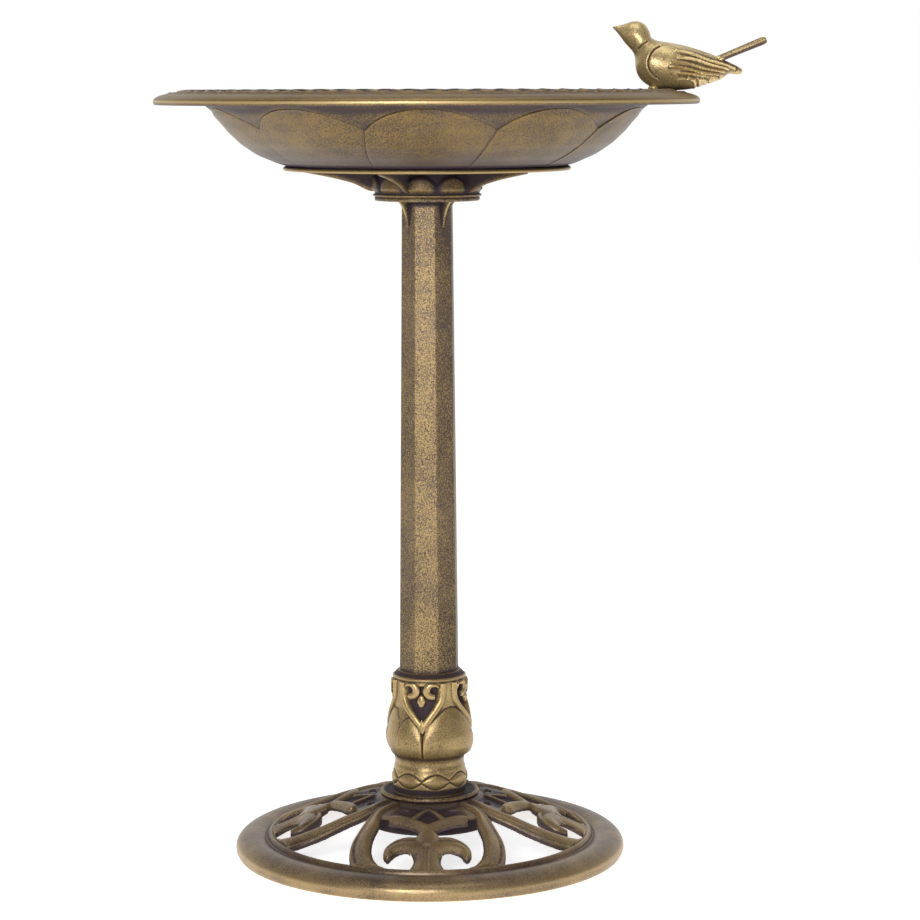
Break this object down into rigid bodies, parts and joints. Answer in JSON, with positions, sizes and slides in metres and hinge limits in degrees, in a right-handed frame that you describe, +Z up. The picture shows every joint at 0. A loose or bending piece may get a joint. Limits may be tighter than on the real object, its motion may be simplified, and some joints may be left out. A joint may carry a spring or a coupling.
{
  "type": "pedestal bird bath",
  "caption": "Shallow round bowl on an octagonal pedestal with an openwork base, holding water for birds, with a bird figure on its rim.",
  "frame": {"origin": "on the column's axis, at the level of the ground", "axes": "+Z up along the column, front towards -Y, the bird on the rim at +X"},
  "size_m": [0.5706, 0.508, 0.7872],
  "materials": {
    "bronze_base": "satin antique bronze paint",
    "bronze_pedestal": "satin antique bronze paint, speckled",
    "bronze_bowl": "satin antique bronze paint, speckled",
    "bronze_bird": "satin antique gold paint",
    "zinc_steel": "zinc plated"
  },
  "bodies": {
    "pedestal": {"base": "bronze_base", "foot_flange": "bronze_pedestal", "collar": "bronze_pedestal", "column": "bronze_pedestal", "tie_rod": "zinc_steel", "rod_top_washer": "zinc_steel", "rod_top_nut": "zinc_steel", "rod_bottom_washer": "zinc_steel", "rod_bottom_nut": "zinc_steel"},
    "bowl_assembly": {"bowl": "bronze_bowl", "bowl_support": "bronze_bowl", "support_screws": "zinc_steel", "bird_front_half": "bronze_bird", "bird_back_half": "bronze_bird", "bird_washer": "zinc_steel", "bird_screw": "zinc_steel"}
  },
  "joints": [
    {"name": "bowl_lift", "type": "slide", "parent": "pedestal", "child": "bowl_assembly", "axis": [0, 0, 1], "range_m": [0, 0.05]}
  ]
}
